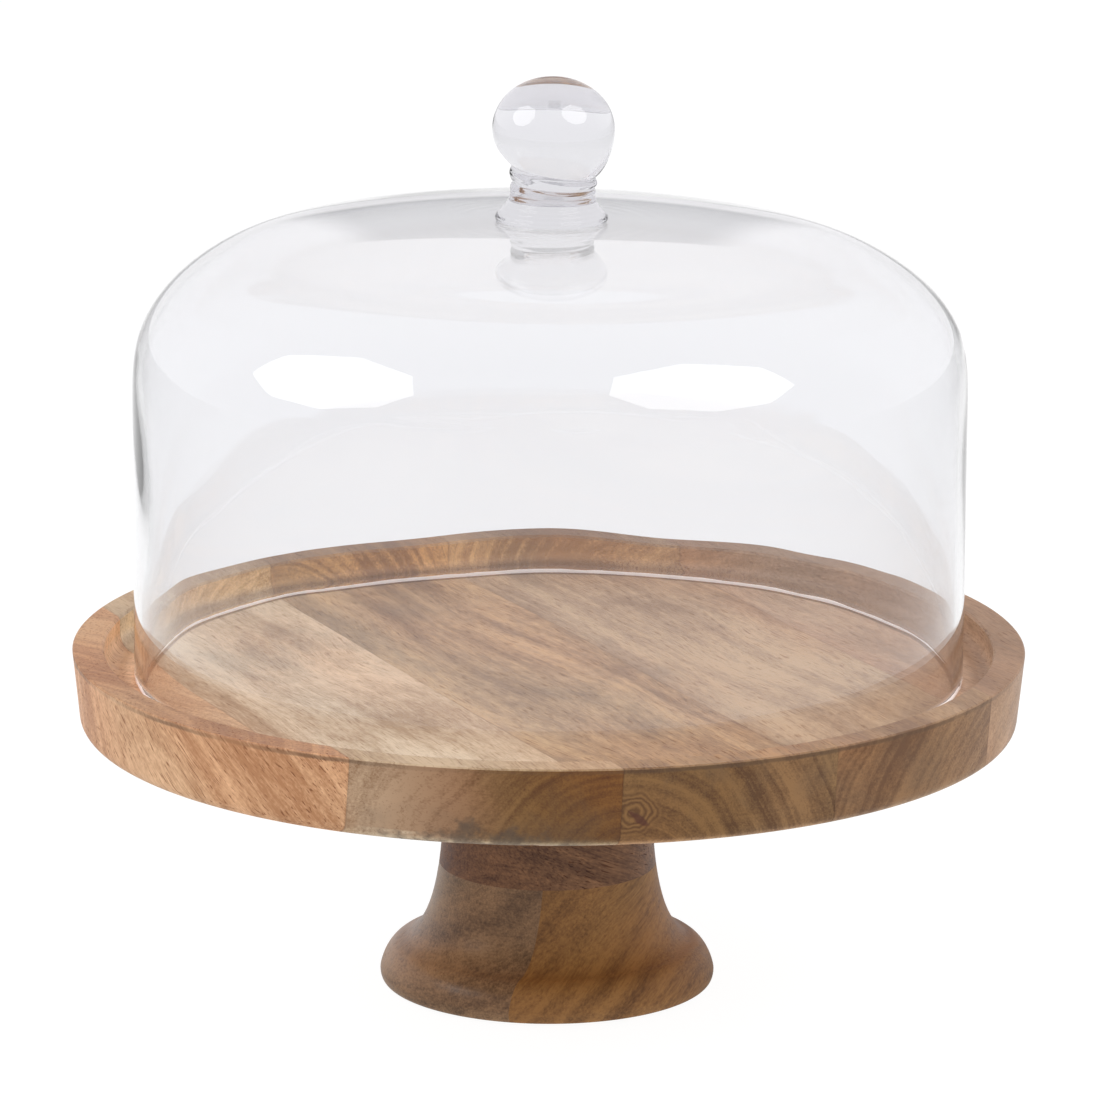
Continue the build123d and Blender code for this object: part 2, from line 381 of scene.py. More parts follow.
def knot_field(recipe, centre):
    """Closeness to the knot's centre, its rings and the reddish crack through it."""
    x, y, z = recipe.parts(recipe.place)
    ripple = recipe.wobble(recipe.place, 180.0, 2.0, 6 * MM)
    across = recipe.maths("SUBTRACT", x, centre.x)
    rise = recipe.maths("MULTIPLY", recipe.maths("SUBTRACT", z, centre.z), KNOT_FLATNESS)
    distance = recipe.maths("ADD", recipe.length(across, rise), ripple)
    rings = recipe.maths("SINE", recipe.maths("MULTIPLY", distance, math.tau / KNOT_RING_PITCH))
    shallow = recipe.band(y, centre.y, centre.y + KNOT_DEPTH, 1.0, 0.0)
    near = recipe.maths("MULTIPLY", recipe.band(distance, KNOT_CORE, KNOT_REACH, 1.0, 0.0), shallow)

    along, _, off = recipe.parts(recipe.turned(recipe.place, (0, CRACK_SLANT, 0)))
    middle = Euler((0, CRACK_SLANT, 0)).to_matrix() @ centre
    off_crack = recipe.maths("MULTIPLY_ADD", ripple, 0.7, recipe.apart(off, middle.z))
    along_crack = recipe.apart(along, middle.x + CRACK_SHIFT)
    crack = recipe.maths(
        "MULTIPLY",
        recipe.band(off_crack, 0.3 * MM, 1.3 * MM, 1.0, 0.0),
        recipe.band(along_crack, 3.0 * MM, 6.0 * MM, 1.0, 0.0),
    )
    return near, rings, recipe.maths("MULTIPLY", crack, shallow)


def smudge_field(recipe, smudge):
    """Ragged dark stain on the front of the rim."""
    x, y, z = recipe.parts(recipe.place)
    across = recipe.maths("DIVIDE", recipe.maths("SUBTRACT", x, smudge.x), smudge.half_width)
    rise = recipe.maths("DIVIDE", recipe.maths("SUBTRACT", z, smudge.z), SMUDGE_HALF_HEIGHT)
    ragged = recipe.wobble(recipe.place, 130.0, 4.0, 4.0, 0.65)
    core = recipe.band(recipe.maths("ADD", recipe.length(across, rise), ragged), 0.1, 1.1, 0.7, 0.0)
    in_front = recipe.band(y, -0.8 * TRAY_RADIUS, -0.7 * TRAY_RADIUS, 1.0, 0.0)
    return recipe.maths("MULTIPLY", core, in_front)


def seam_line(recipe):
    """Thin, broken glue line along every joint between the boards."""
    across, _, _ = recipe.parts(recipe.turned(recipe.place, (0, 0, math.radians(-TRAY_TURN))))
    off_seam = recipe.maths("PINGPONG", recipe.maths("SUBTRACT", across, SEAM_PLACE), SEAM_PITCH / 2)
    line = recipe.band(off_seam, 0.1 * MM, 0.5 * MM, 1.0, 0.0)
    patchy = recipe.band(recipe.noise(recipe.place, 60.0, 2.0), 0.35, 0.6, 0.1, 0.5)
    return recipe.maths("MULTIPLY", line, patchy)


def turned_edge_line(recipe):
    """Thin dark line just below the rim's outer top edge, uneven round the tray."""
    radius, height = recipe.off_axis()
    ragged = recipe.wobble(recipe.place, 90.0, 3.0, 1.2 * MM)
    off_level = recipe.apart(recipe.maths("ADD", height, ragged), TRAY_TOP - 1.2 * MM)
    line = recipe.band(off_level, 0.3 * MM, 1.1 * MM, 1.0, 0.0)
    outside = recipe.band(radius, TRAY_RADIUS - 1.2 * MM, TRAY_RADIUS - 0.5 * MM)
    patchy = recipe.band(recipe.noise(recipe.place, 17.0, 2.0), 0.35, 0.6, 0.25, 1.0)
    return recipe.maths("MULTIPLY", recipe.maths("MULTIPLY", line, outside), patchy)


def wood_tone(recipe, timber, figure):
    """From 0, where the timber has its dark colour, to 1, where it has its light one."""
    narrow_depth = recipe.maths("MULTIPLY_ADD", figure.ends, timber.end_rings, 3.0 * timber.rings)
    tone = 0.55
    for part, depth in (
        (figure.broad, 5.0 * timber.rings),
        (figure.narrow, narrow_depth),
        (figure.blotch, 4.6 * timber.blotches),
        (figure.silk, 1.0),
        (figure.fibre, 1.5),
        (figure.speckle, 0.6),
    ):
        tone = recipe.maths("MULTIPLY_ADD", recipe.maths("SUBTRACT", part, 0.5), depth, tone)
    lathe_lines = recipe.maths("MULTIPLY", recipe.maths("SUBTRACT", figure.tool_marks, 0.5), figure.ends)
    tone = recipe.maths("MULTIPLY_ADD", lathe_lines, 0.4, tone)
    if timber.knot is not None:
        ringed = recipe.maths("MULTIPLY_ADD", figure.knot_rings, 0.42, 0.55)
        tone = recipe.maths("MULTIPLY_ADD", figure.near_knot, recipe.maths("SUBTRACT", ringed, tone), tone)
    return recipe.maths("MINIMUM", recipe.maths("MAXIMUM", tone, 0.0), 1.0)


def tinted_ends(recipe, timber, figure, colour):
    """End grain takes the timber's tint outside, and the golden one on the tray's inner wall."""
    outward = recipe.add("ShaderNodeVectorMath", {0: recipe.normal, 1: recipe.place}, operation="DOT_PRODUCT")
    inside = recipe.band(outward.outputs["Value"], 0.0, 20 * MM, 1.0, 0.0)
    inner_ends = recipe.maths("MULTIPLY", figure.ends, inside)
    outer_ends = recipe.maths("SUBTRACT", figure.ends, inner_ends)
    colour = recipe.tinted(inner_ends, colour, INNER_WALL_TINT)
    colour = recipe.tinted(outer_ends, colour, timber.end_tint)
    if timber.heart_tint is not None:
        heart = recipe.maths("MULTIPLY", outer_ends, heartwood(recipe, timber))
        colour = recipe.tinted(heart, colour, timber.heart_tint)
    return colour


def stained(recipe, timber, figure, colour):
    """Clouds of dark stain, the smudge on the rim and the crack in the knot."""
    if timber.stain:
        place = recipe.stretched(figure.dived, 0.5, (2, 5, 8))
        cloud = recipe.noise(place, 19.0, 5.0, 0.62, 0.6)
        share = recipe.band(cloud, 0.52, 0.72, 0.0, timber.stain)
        colour = recipe.mix(share, colour, rgba(STAIN_COLOUR))
    if timber.smudge is not None:
        colour = recipe.mix(smudge_field(recipe, timber.smudge), colour, rgba(STAIN_COLOUR))
    if timber.knot is not None:
        colour = recipe.mix(recipe.maths("MULTIPLY", figure.crack, 0.85), colour, rgba(CRACK_COLOUR))
    return colour


def tray_marks(recipe, figure, colour):
    """Glue lines, a painted contact shadow in a ring where the glass stands, the handled top of the rim and a
    darker line below its outer edge.
    """
    colour = recipe.tinted(seam_line(recipe), colour, SEAM_AND_SHADOW_TINT)
    # Painted contact shadow: a darker ring along the inner edge of the glass's foot, where the glass shades
    # the floor
    off_ring = recipe.apart(figure.radius, DOME_RADIUS - GLASS_WALL)
    ring = recipe.band(off_ring, 0.5 * MM, 1.3 * MM, 0.9, 0.0)
    colour = recipe.tinted(ring, colour, SEAM_AND_SHADOW_TINT)
    on_land = recipe.band(figure.radius, DOME_RADIUS, DOME_RADIUS + 5 * MM)
    facing_up = recipe.band(recipe.parts(recipe.normal)[2], 0.4, 0.9)
    colour = recipe.tinted(recipe.maths("MULTIPLY", on_land, facing_up), colour, LAND_TINT)
    # Darker line just below the rim's outer top edge
    dark_edge_line = recipe.maths("MULTIPLY", turned_edge_line(recipe), 0.65)
    return recipe.mix(dark_edge_line, colour, rgba(EDGE_LINE_COLOUR))


def wood(name, timber, in_tray):
    """Oiled mango wood: rings, fibres, open pores, blotches, darker end grain and turning marks."""
    recipe = Recipe(name)
    figure = Figure(recipe, timber)
    colour = recipe.mix(wood_tone(recipe, timber, figure), rgba(timber.dark), rgba(timber.light))
    colour = recipe.tinted(recipe.band(figure.hue, 0.35, 0.65), colour, WARM_TINT)
    pore_share = recipe.maths("MULTIPLY", figure.pores, timber.pores)
    colour = recipe.tinted(pore_share, colour, PORE_TINT)
    colour = tinted_ends(recipe, timber, figure, colour)
    colour = stained(recipe, timber, figure, colour)
    if in_tray:
        colour = tray_marks(recipe, figure, colour)

    raised_fibre = recipe.maths("MULTIPLY", figure.fibre, 0.35)
    relief = recipe.maths("MULTIPLY_ADD", figure.pores, -0.6 * timber.pores, raised_fibre)
    relief = recipe.maths("MULTIPLY_ADD", figure.tool_marks, 0.25, relief)
    if timber.knot is not None:
        relief = recipe.maths("MULTIPLY_ADD", figure.crack, -2.5, relief)
    normal = recipe.bump(relief, 0.12 * MM, 0.55)
    roughness = recipe.maths("MULTIPLY_ADD", figure.silk, 0.2, timber.roughness)
    roughness = recipe.maths("MULTIPLY_ADD", pore_share, 0.2, roughness)
    return recipe.principled(
        {"Base Color": colour, "Roughness": roughness, "Normal": normal, "IOR": WOOD_IOR}
    )


TRAY_TIMBERS = {
    "tray_board_1": Timber(
        (0.76, 0.48, 0.275), (0.42, 0.21, 0.095), 49.0, seed=1.3, dive=-42, pith=(-0.22, 0.02),
        rings=0.50, blotches=0.30, pores=0.9, pore_reach=0.02, end_tint=(0.86, 0.82, 0.74),
    ),
    "tray_board_2": Timber(
        (0.72, 0.56, 0.38), (0.38, 0.235, 0.12), TRAY_TURN, seed=2.1, pith=(-0.045, 0.085),
        rings=0.32, end_rings=1.1, blotches=0.50, pores=0.55, stain=0.35, end_tint=(0.355, 0.165, 0.047),
        heart_tint=(0.84, 0.98, 0.76), smudge=Smudge(x=-18 * MM, half_width=32 * MM, z=95 * MM),
    ),
    "tray_board_3": Timber(
        (0.56, 0.36, 0.19), (0.25, 0.135, 0.065), TRAY_TURN, seed=3.7, pith=(-0.045, 0.085),
        rings=0.38, end_rings=1.2, blotches=0.50, pores=0.65, stain=0.4, end_tint=(0.50, 0.45, 0.34),
        heart_tint=(0.87, 0.80, 0.62), knot=Vector((27 * MM, -162 * MM, 106.5 * MM)),
    ),
    "tray_board_4": Timber(
        (0.57, 0.38, 0.225), (0.29, 0.165, 0.088), TRAY_TURN, seed=4.4, pith=(0.15, 0.06),
        rings=0.32, end_rings=1.1, blotches=0.50, pores=0.6, stain=0.3, end_tint=(0.53, 0.42, 0.29),
        smudge=Smudge(x=79 * MM, half_width=7 * MM, z=104 * MM),
    ),
    "tray_board_5": Timber(
        (0.56, 0.37, 0.235), (0.31, 0.185, 0.105), TRAY_TURN, seed=5.9, pith=(0.2, -0.05),
        rings=0.30, blotches=0.40, pores=0.5, end_tint=(0.97, 0.92, 0.80),
    ),
}
FOOT_TIMBERS = {
    "foot_main_block": Timber(
        (0.36, 0.235, 0.13), (0.10, 0.06, 0.034), FOOT_TURN, seed=7.2, pith=(-0.04, 0.09),
        rings=0.26, blotches=0.36, pores=0.4, stain=0.15, end_tint=(0.82, 0.80, 0.76), roughness=0.22,
    ),
    "foot_side_block": Timber(
        (0.35, 0.19, 0.060), (0.14, 0.066, 0.020), FOOT_TURN, seed=8.8, dive=-24, pith=(0.1, -0.05),
        rings=0.34, blotches=0.25, pores=0.25, end_tint=(0.85, 0.8, 0.7), roughness=0.42,
    ),
    "collar": Timber(
        (0.32, 0.165, 0.074), (0.10, 0.042, 0.018), COLLAR_TURN, seed=9.5, dive=22, pith=(0.03, -0.02),
        rings=0.3, blotches=0.35, pores=1.0, end_tint=(0.85, 0.8, 0.78),
    ),
}


def finish_wood():
    """Gives every wooden CAD node its own timber."""
    for node, timber in TRAY_TIMBERS.items():
        set_material(node, wood(f"wood_{node}", timber, in_tray=True))
    for node, timber in FOOT_TIMBERS.items():
        set_material(node, wood(f"wood_{node}", timber, in_tray=False))


def set_material(node, material):
    """Puts one material in every slot of a CAD node's object."""
    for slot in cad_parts[node].material_slots:
        slot.material = material


# ---------------------------------------------------------------- glass

GLASS_GAP = 0.1 * MM  # film of air under the ground rim
PAD_GAP = 0.03 * MM  # film of air between the crown and the neck's pad
GROUND_OUTER = 0.6 * MM  # ground bevels at the rim
GROUND_INNER_WIDTH = 1.2 * MM
GROUND_INNER_HEIGHT = 1.5 * MM
GROUND_RIM_GLOW = 0.35  # painted glow, standing for light that the wall guides down to its ground foot
CHIP_DEPTH = 0.7 * MM
WALL_LENS = 0.25 * MM  # most that the wall's inner surface wanders to either side
SHOULDER_START = TRAY_FLOOR + 110.0 * MM
CROWN_EDGE = (104.6 * MM, TRAY_FLOOR + 150.6 * MM)
CROWN_SLOPE = math.radians(12)  # fall of the crown at its edge
WALL_HANDLE = 23.8 * MM  # how far the outline keeps its direction: up from the wall,
SHOULDER_HANDLE = 10 * MM  # back from the crown's edge,
CROWN_HANDLE = 30 * MM  # on from it,
TOP_HANDLE = 45 * MM  # and out from the axis
OUTLINE_EASING = 40  # rounds
WALL_STEPS = 60
SHOULDER_STEPS = 40
CROWN_STEPS = 60
NECK_STEPS = 90
TOE_STEPS = 8
BALL_STEPS = 96
PAD_FOOT_RADIUS = PAD_RADIUS - 2.5 * MM
PAD_EDGE_HEIGHT = TRAY_FLOOR + 160.6 * MM
NECK_RADIUS = 14.5 * MM
NECK_BOTTOM = TRAY_FLOOR + 167.0 * MM
FLARE_RIPPLE = 0.06 * MM  # fine tooling marks on the flare to the pad
FLARE_RIPPLE_PITCH = 1.35 * MM
FLARE_POWER = 1.15  # above 1 the flare spreads later
PAD_INSET = 0.3 * MM  # keeps the rippled flare inside the pad's CAD radius
BALL_CENTRE = TRAY_FLOOR + 191.2 * MM
GLASS_SEGMENTS = 304
CROWN_LEAN = -0.011  # rise of the crown's top for each unit of X
KNOB_SHIFT = 0.7 * MM  # along X
CREASE_TILT = -0.13  # rise of the crease under the ball for each unit of X
CREASE_HALF_HEIGHT = 7 * MM  # reach of the tilt, above and below the crease
SHIFT_START = CROWN_TOP - 6 * MM
GLASS_IOR = 1.5
NECK_IOR = 1.18  # below real glass, so that the neck's tooling rings stay soft and pale
DOME_COLOUR = (0.93, 0.932, 0.945)
KNOB_COLOUR = (0.80, 0.798, 0.828)
NECK_COLOUR = (0.73, 0.727, 0.757)
PANE_COLOUR = (0.965, 0.965, 0.97)
GROUND_DARK = (0.86, 0.81, 0.79)
GROUND_PALE = (0.97, 0.94, 0.93)
GROUND_RIM_LIGHT = (1.0, 0.96, 0.95)
CROWN_RIPPLE = 0.005 * MM  # half the depth of the rings round the knob's pad
CROWN_RIPPLE_PITCH = 5 * MM
SWELL = 0.12 * MM  # slow unevenness of the wall, and the finer one of its drawing
DRAWN = 0.04 * MM
SLIVER = 0.01 * MM  # less than any ring's height
# Where noises are read for the glass: spread round the dome, rate up its height, and start.
SWELL_READ = (3, 14, 0)
DRAWN_READ = (3, 45, 7)
LENS_READ = (3.5, 22, 40)
CHIP_READ = (9, 0, 3)
CHIP_FRACTAL = (0.8, 2.0, 3)  # its increment, lacunarity and octaves


def clear_glass(name, colour, ior):
    """Clear blown glass. Lamp light and the light off the wood pass straight through it."""
    recipe = Recipe(name)
    swell = recipe.noise(recipe.turned(recipe.place, (0, 0, 0), scale=(1, 1, 2)), 16.0, 1.0)
    glass = recipe.add(
        "ShaderNodeBsdfPrincipled",
        {
            "Base Color": rgba(colour),
            "Roughness": 0.0,
            "IOR": ior,
            "Transmission Weight": 1.0,
            "Normal": recipe.bump(swell, 0.3 * MM, 0.1),
        },
    ).outputs[0]
    return let_light_through(recipe, glass)


def let_light_through(recipe, glass):
    """Glass for the camera and for reflections, and a faint pane for lamps and diffuse light."""
    clear = recipe.add("ShaderNodeBsdfTransparent", {"Color": rgba(PANE_COLOUR)}).outputs[0]
    path = recipe.add("ShaderNodeLightPath").outputs
    shader = recipe.add("ShaderNodeMixShader", {0: path["Is Diffuse Ray"], 1: glass, 2: clear}).outputs[0]
    shader = recipe.add("ShaderNodeMixShader", {0: path["Is Shadow Ray"], 1: shader, 2: clear}).outputs[0]
    return recipe.finish(shader)


def ground_glass():
    """Frosted bevels and foot of the rim, where the blown edge was ground flat, with a faint painted glow."""
    recipe = Recipe("ground_glass")
    grit = recipe.noise(recipe.place, 1800.0, 3.0, 0.7)
    shade = recipe.mix(recipe.band(grit, 0.3, 0.7), rgba(GROUND_DARK), rgba(GROUND_PALE))
    frosted = recipe.add(
        "ShaderNodeBsdfPrincipled",
        {
            "Base Color": shade,
            "Roughness": recipe.maths("MULTIPLY_ADD", grit, 0.3, 0.4),
            "IOR": GLASS_IOR,
            "Transmission Weight": 0.1,
            # Painted glow: the frosted rim glows faintly, standing for light that the wall guides down to it
            "Emission Color": rgba(GROUND_RIM_LIGHT),
            "Emission Strength": GROUND_RIM_GLOW,
            "Normal": recipe.bump(grit, 0.1 * MM, 0.5),
        },
    ).outputs[0]
    return recipe.finish(frosted)


def fused_joint():
    """Faces where two gathers of glass are melted together: nothing shows there."""
    recipe = Recipe("glass_fused_joint")
    return recipe.finish(recipe.add("ShaderNodeBsdfTransparent").outputs[0])


def blown(radius, height, angle):
    """Places a point of the glass with the slight unevenness of hand-blown work."""
    x = radius * math.cos(angle)
    y = radius * math.sin(angle)
    near_crown = smooth(SHOULDER_START, CROWN_TOP, height)
    near_crease = math.exp(-(((height - NECK_TOP) / CREASE_HALF_HEIGHT) ** 2))
    on_knob = smooth(CROWN_TOP, NECK_TOP, height)
    lean = (CROWN_LEAN * near_crown + CREASE_TILT * near_crease * on_knob) * x
    return Vector((x + KNOB_SHIFT * smooth(SHIFT_START, NECK_TOP, height), y, height + lean))


def round_place(angle, height, reading):
    """Place in a noise for a place on the dome. A larger spread or rate makes it vary faster."""
    spread, rate, start = reading
    return Vector((spread * math.cos(angle), spread * math.sin(angle), height * rate + start))


def wall_lens(height, angle):
    """How far the inner surface wanders inwards here, so that things seen through the wall bend."""
    lens = noise.noise(round_place(angle, height, LENS_READ))
    return WALL_LENS * lens * smooth(TRAY_FLOOR, TRAY_TOP, height)


def rim_chip(height, angle):
    """Rise of the ground rim's upper edges, uneven from the grinding; the foot itself stays flat."""
    near_rim = 1 - smooth(TRAY_FLOOR + GLASS_GAP, TRAY_FLOOR + 2 * GROUND_INNER_HEIGHT, height)
    off_foot = smooth(TRAY_FLOOR + GLASS_GAP, TRAY_FLOOR + GROUND_INNER_HEIGHT, height)
    chipped = noise.fractal(round_place(angle, height, CHIP_READ), *CHIP_FRACTAL)
    return CHIP_DEPTH * chipped * near_rim * off_foot


def crown_ripple(radius):
    """Rise, never above zero, of the faint rings round the knob's pad."""
    near_pad = smooth(PAD_RADIUS, PAD_RADIUS + 5 * MM, radius) * (1 - smooth(30 * MM, 50 * MM, radius))
    return CROWN_RIPPLE * near_pad * (math.sin(math.tau * radius / CROWN_RIPPLE_PITCH) - 1)


def uneven_wall(radius, height, angle):
    """As blown, with slow swells in the wall and an uneven ground edge. The outer face stays inside
    its true radius."""
    point = blown(radius, height, angle)
    swell = noise.noise(round_place(angle, height, SWELL_READ))
    drawn = noise.noise(round_place(angle, height, DRAWN_READ))
    on_wall = smooth(CROWN_EDGE[0] * 0.25, CROWN_EDGE[0], radius)
    inward = 1 - on_wall * (SWELL * (1 + swell) + DRAWN * (1 + drawn)) / DOME_RADIUS
    if radius < DOME_RADIUS - GLASS_WALL / 2:
        inward -= on_wall * wall_lens(height, angle) / DOME_RADIUS
    rise = crown_ripple(radius) if height > SHOULDER_START else rim_chip(height, angle)
    return Vector((point.x * inward, point.y * inward, point.z + rise))


def shell_outline(inset, foot_height):
    """Wall, shoulder and crown moved inwards by inset, from foot_height above the tray up to the axis."""
    shrink = 1 - inset / (DOME_RADIUS - CROWN_EDGE[0])
    along = (math.cos(CROWN_SLOPE), -math.sin(CROWN_SLOPE))
    spring = (DOME_RADIUS - inset, SHOULDER_START)
    edge = (
        CROWN_EDGE[0] - inset * math.sin(CROWN_SLOPE),
        CROWN_EDGE[1] - inset * math.cos(CROWN_SLOPE),
    )
    top = (0.0, CROWN_TOP - inset)
    wall_handle = (spring[0], spring[1] + WALL_HANDLE * shrink)
    reach = SHOULDER_HANDLE * shrink
    shoulder_handle = (edge[0] + reach * along[0], edge[1] + reach * along[1])
    crown_handle = (edge[0] - CROWN_HANDLE * along[0], edge[1] - CROWN_HANDLE * along[1])
    foot = (spring[0], TRAY_FLOOR + GLASS_GAP + foot_height)
    profile = straight(foot, spring, WALL_STEPS)
    profile += bezier(spring, wall_handle, shoulder_handle, edge, SHOULDER_STEPS)
    profile += bezier(edge, crown_handle, (TOP_HANDLE, top[1]), top, CROWN_STEPS)
    return eased([foot] + profile, OUTLINE_EASING)


def make_shell(glass, ground):
    """Bell of the dome, with its frosted ground rim."""
    outer = shell_outline(0.0, GROUND_OUTER)
    inner = shell_outline(GLASS_WALL, GROUND_INNER_HEIGHT)
    rim = TRAY_FLOOR + GLASS_GAP
    bevel_end = DOME_RADIUS - GLASS_WALL + GROUND_INNER_WIDTH
    foot = [(DOME_RADIUS - GROUND_OUTER, rim), (bevel_end, rim)]
    outline = outer[::-1] + foot + inner

    def slot_of(radius, height):
        on_bevel = height < rim + GROUND_INNER_HEIGHT and radius < bevel_end
        return int(on_bevel or height < rim + GROUND_OUTER)

    return lathe("dome_shell_glass", outline, GLASS_SEGMENTS, uneven_wall, [glass, ground], slot_of)


def crown_height(radius):
    """Height of the crown's outer surface at a radius."""
    outer = shell_outline(0.0, GROUND_OUTER)
    for (r1, z1), (r2, z2) in zip(outer, outer[1:]):
        if r2 <= radius <= r1:
            return z1 + (z2 - z1) * (r1 - radius) / (r1 - r2)
    return CROWN_TOP


def ridge(height, centre, width, depth):
    """One soft ring left by the jacks, seen in section."""
    return depth * math.exp(-(((height - centre) / width) ** 2))


def neck_radius_at(height):
    """Tooled neck: a rolled bead under the ball, a groove, three shallow rings, then the flare to the pad."""
    flare = smooth(NECK_BOTTOM + 1.5 * MM, PAD_EDGE_HEIGHT - 1 * MM, height)
    radius = NECK_RADIUS + (PAD_RADIUS - PAD_INSET - NECK_RADIUS) * flare**FLARE_POWER
    radius += ridge(height, centre=NECK_TOP - 2.4 * MM, width=1.3 * MM, depth=0.55 * MM)
    radius -= ridge(height, centre=NECK_TOP - 4.8 * MM, width=0.6 * MM, depth=0.5 * MM)
    for step in range(3):
        centre = NECK_TOP - (6.6 + 2.3 * step) * MM
        radius += ridge(height, centre, width=0.7 * MM, depth=0.22 * MM)
    return radius + FLARE_RIPPLE * math.sin(height * math.tau / FLARE_RIPPLE_PITCH) * flare


def make_neck(glass, fused):
    """Gather between crown and ball: melted into the ball above, and resting on the crown below."""
    top_radius = neck_radius_at(NECK_TOP)
    axis = straight((0, NECK_TOP), (0, PAD_EDGE_HEIGHT), NECK_STEPS)
    side = [(neck_radius_at(height), height) for _, height in axis]
    edge = side[-1]
    radii = [PAD_FOOT_RADIUS * share for share in (1, 0.75, 0.5, 0.25, 0)]
    under = [(radius, crown_height(radius) + PAD_GAP) for radius in radii]
    toe_start = (edge[0], edge[1] - 1.4 * MM)
    toe_end = (under[0][0] + 1.2 * MM, under[0][1])
    toe = bezier(edge, toe_start, toe_end, under[0], TOE_STEPS)
    joint = [(0.0, NECK_TOP), (top_radius / 2, NECK_TOP), (top_radius, NECK_TOP)]

    def slot_of(radius, height):
        return int(height > NECK_TOP - SLIVER)

    outline = joint + side + toe + under[1:]
    return lathe("knob_neck_glass", outline, GLASS_SEGMENTS, blown, [glass, fused], slot_of)


def make_ball(glass, fused):
    """Solid ball: half an ellipse above its centre, and below it another, cut off flat at the neck."""
    upper = BALL_HIGH.z - BALL_CENTRE
    top_radius = neck_radius_at(NECK_TOP)
    lower = (BALL_CENTRE - NECK_TOP) / math.sqrt(1 - (top_radius / BALL_RADIUS) ** 2)
    start = -math.asin((BALL_CENTRE - NECK_TOP) / lower)
    outline = [(0.0, BALL_HIGH.z)]
    for step in range(1, BALL_STEPS):
        angle = math.pi / 2 + (start - math.pi / 2) * step / BALL_STEPS
        half_height = upper if angle > 0 else lower
        outline.append((BALL_RADIUS * math.cos(angle), BALL_CENTRE + half_height * math.sin(angle)))
    outline += [(top_radius, NECK_TOP), (top_radius / 2, NECK_TOP), (0.0, NECK_TOP)]

    def slot_of(radius, height):
        return int(height < NECK_TOP + SLIVER)

    return lathe("knob_ball_glass", outline, GLASS_SEGMENTS, blown, [glass, fused], slot_of)


def make_glass():
    """The three gathers of the dome, each in place of its CAD node."""
    fused = fused_joint()
    pieces = {
        "dome_shell": make_shell(clear_glass("dome_glass", DOME_COLOUR, GLASS_IOR), ground_glass()),
        "knob_neck": make_neck(clear_glass("neck_glass", NECK_COLOUR, NECK_IOR), fused),
        "knob_ball": make_ball(clear_glass("knob_glass", KNOB_COLOUR, GLASS_IOR), fused),
    }
    for node, piece in pieces.items():
        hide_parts(node)
        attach(piece, "dome")


# ---------------------------------------------------------------- hidden fastener and pads

def metal(name, colour, roughness):
    """Plated or plain metal with fine turning lines and a little staining."""
    recipe = Recipe(name)
    radius, height = recipe.off_axis()
    lines = recipe.noise(recipe.joined(radius, 0.0, height), 4200.0, 2.0)
    stain = recipe.noise(recipe.place, 240.0, 4.0, 0.6)
    shade = recipe.mix(recipe.band(stain, 0.35, 0.75), rgba(colour), rgba(colour, 0.72))
    return recipe.principled(
        {
            "Base Color": shade,
            "Metallic": 1.0,
            "Roughness": recipe.maths("MULTIPLY_ADD", stain, 0.25, roughness),
            "Normal": recipe.bump(lines, 0.04 * MM, 0.5),
        }
    )


def matted(recipe, angle, scale):
    """Fibres that lie at an angle, in radians about Z."""
    lying = recipe.turned(recipe.place, (0, 0, angle), scale=(1, 0.15, 1))
    return recipe.noise(lying, scale, 3.0, 0.6, 1.2)


def felt(name, colour):
    """Pressed felt: matted fibres in two directions, with a soft sheen."""
    recipe = Recipe(name)
    mat = recipe.maths("ADD", matted(recipe, 0.5, 3800.0), matted(recipe, 2.1, 3300.0))
    return recipe.principled(
        {
            "Base Color": recipe.mix(recipe.band(mat, 0.75, 1.3), rgba(colour, 0.6), rgba(colour, 1.25)),
            "Roughness": 0.95,
            "Sheen Weight": 0.5,
            "Sheen Roughness": 0.4,
            "Normal": recipe.bump(mat, 0.3 * MM, 0.7),
        }
    )


def finish_hidden_parts():
    """Bolt, washer, insert and felt pads keep their CAD shapes and get their own materials."""
    zinc = metal("zinc_plated_steel", (0.62, 0.63, 0.65), 0.28)
    brass = metal("insert_brass", (0.80, 0.58, 0.28), 0.24)
    pads = felt("brown_felt", (0.075, 0.055, 0.042))
    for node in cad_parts:
        if node.startswith("felt_pad"):
            set_material(node, pads)
    set_material("centre_bolt", zinc)
    set_material("bolt_washer", zinc)
    set_material("threaded_insert", brass)


# ---------------------------------------------------------------- stage, light and camera

FLOOR_SIZE = 30.0
FLOOR_GLOW = 0.95
FLOOR_ALBEDO = 0.12
DIM_FLOOR_GLOW = 0.4
RUNWAY_HALF_WIDTH = 0.3
SOFTBOX_DISTANCE = 1.25
SOFTBOX_RADIUS = 0.5
SOFTBOX_GLOW = 3.8
FILL_GLOW = 0.7


def softbox_cloth(name, strength):
    """Evenly glowing white cloth."""
    recipe = Recipe(name)
    return recipe.finish(recipe.glow(strength))


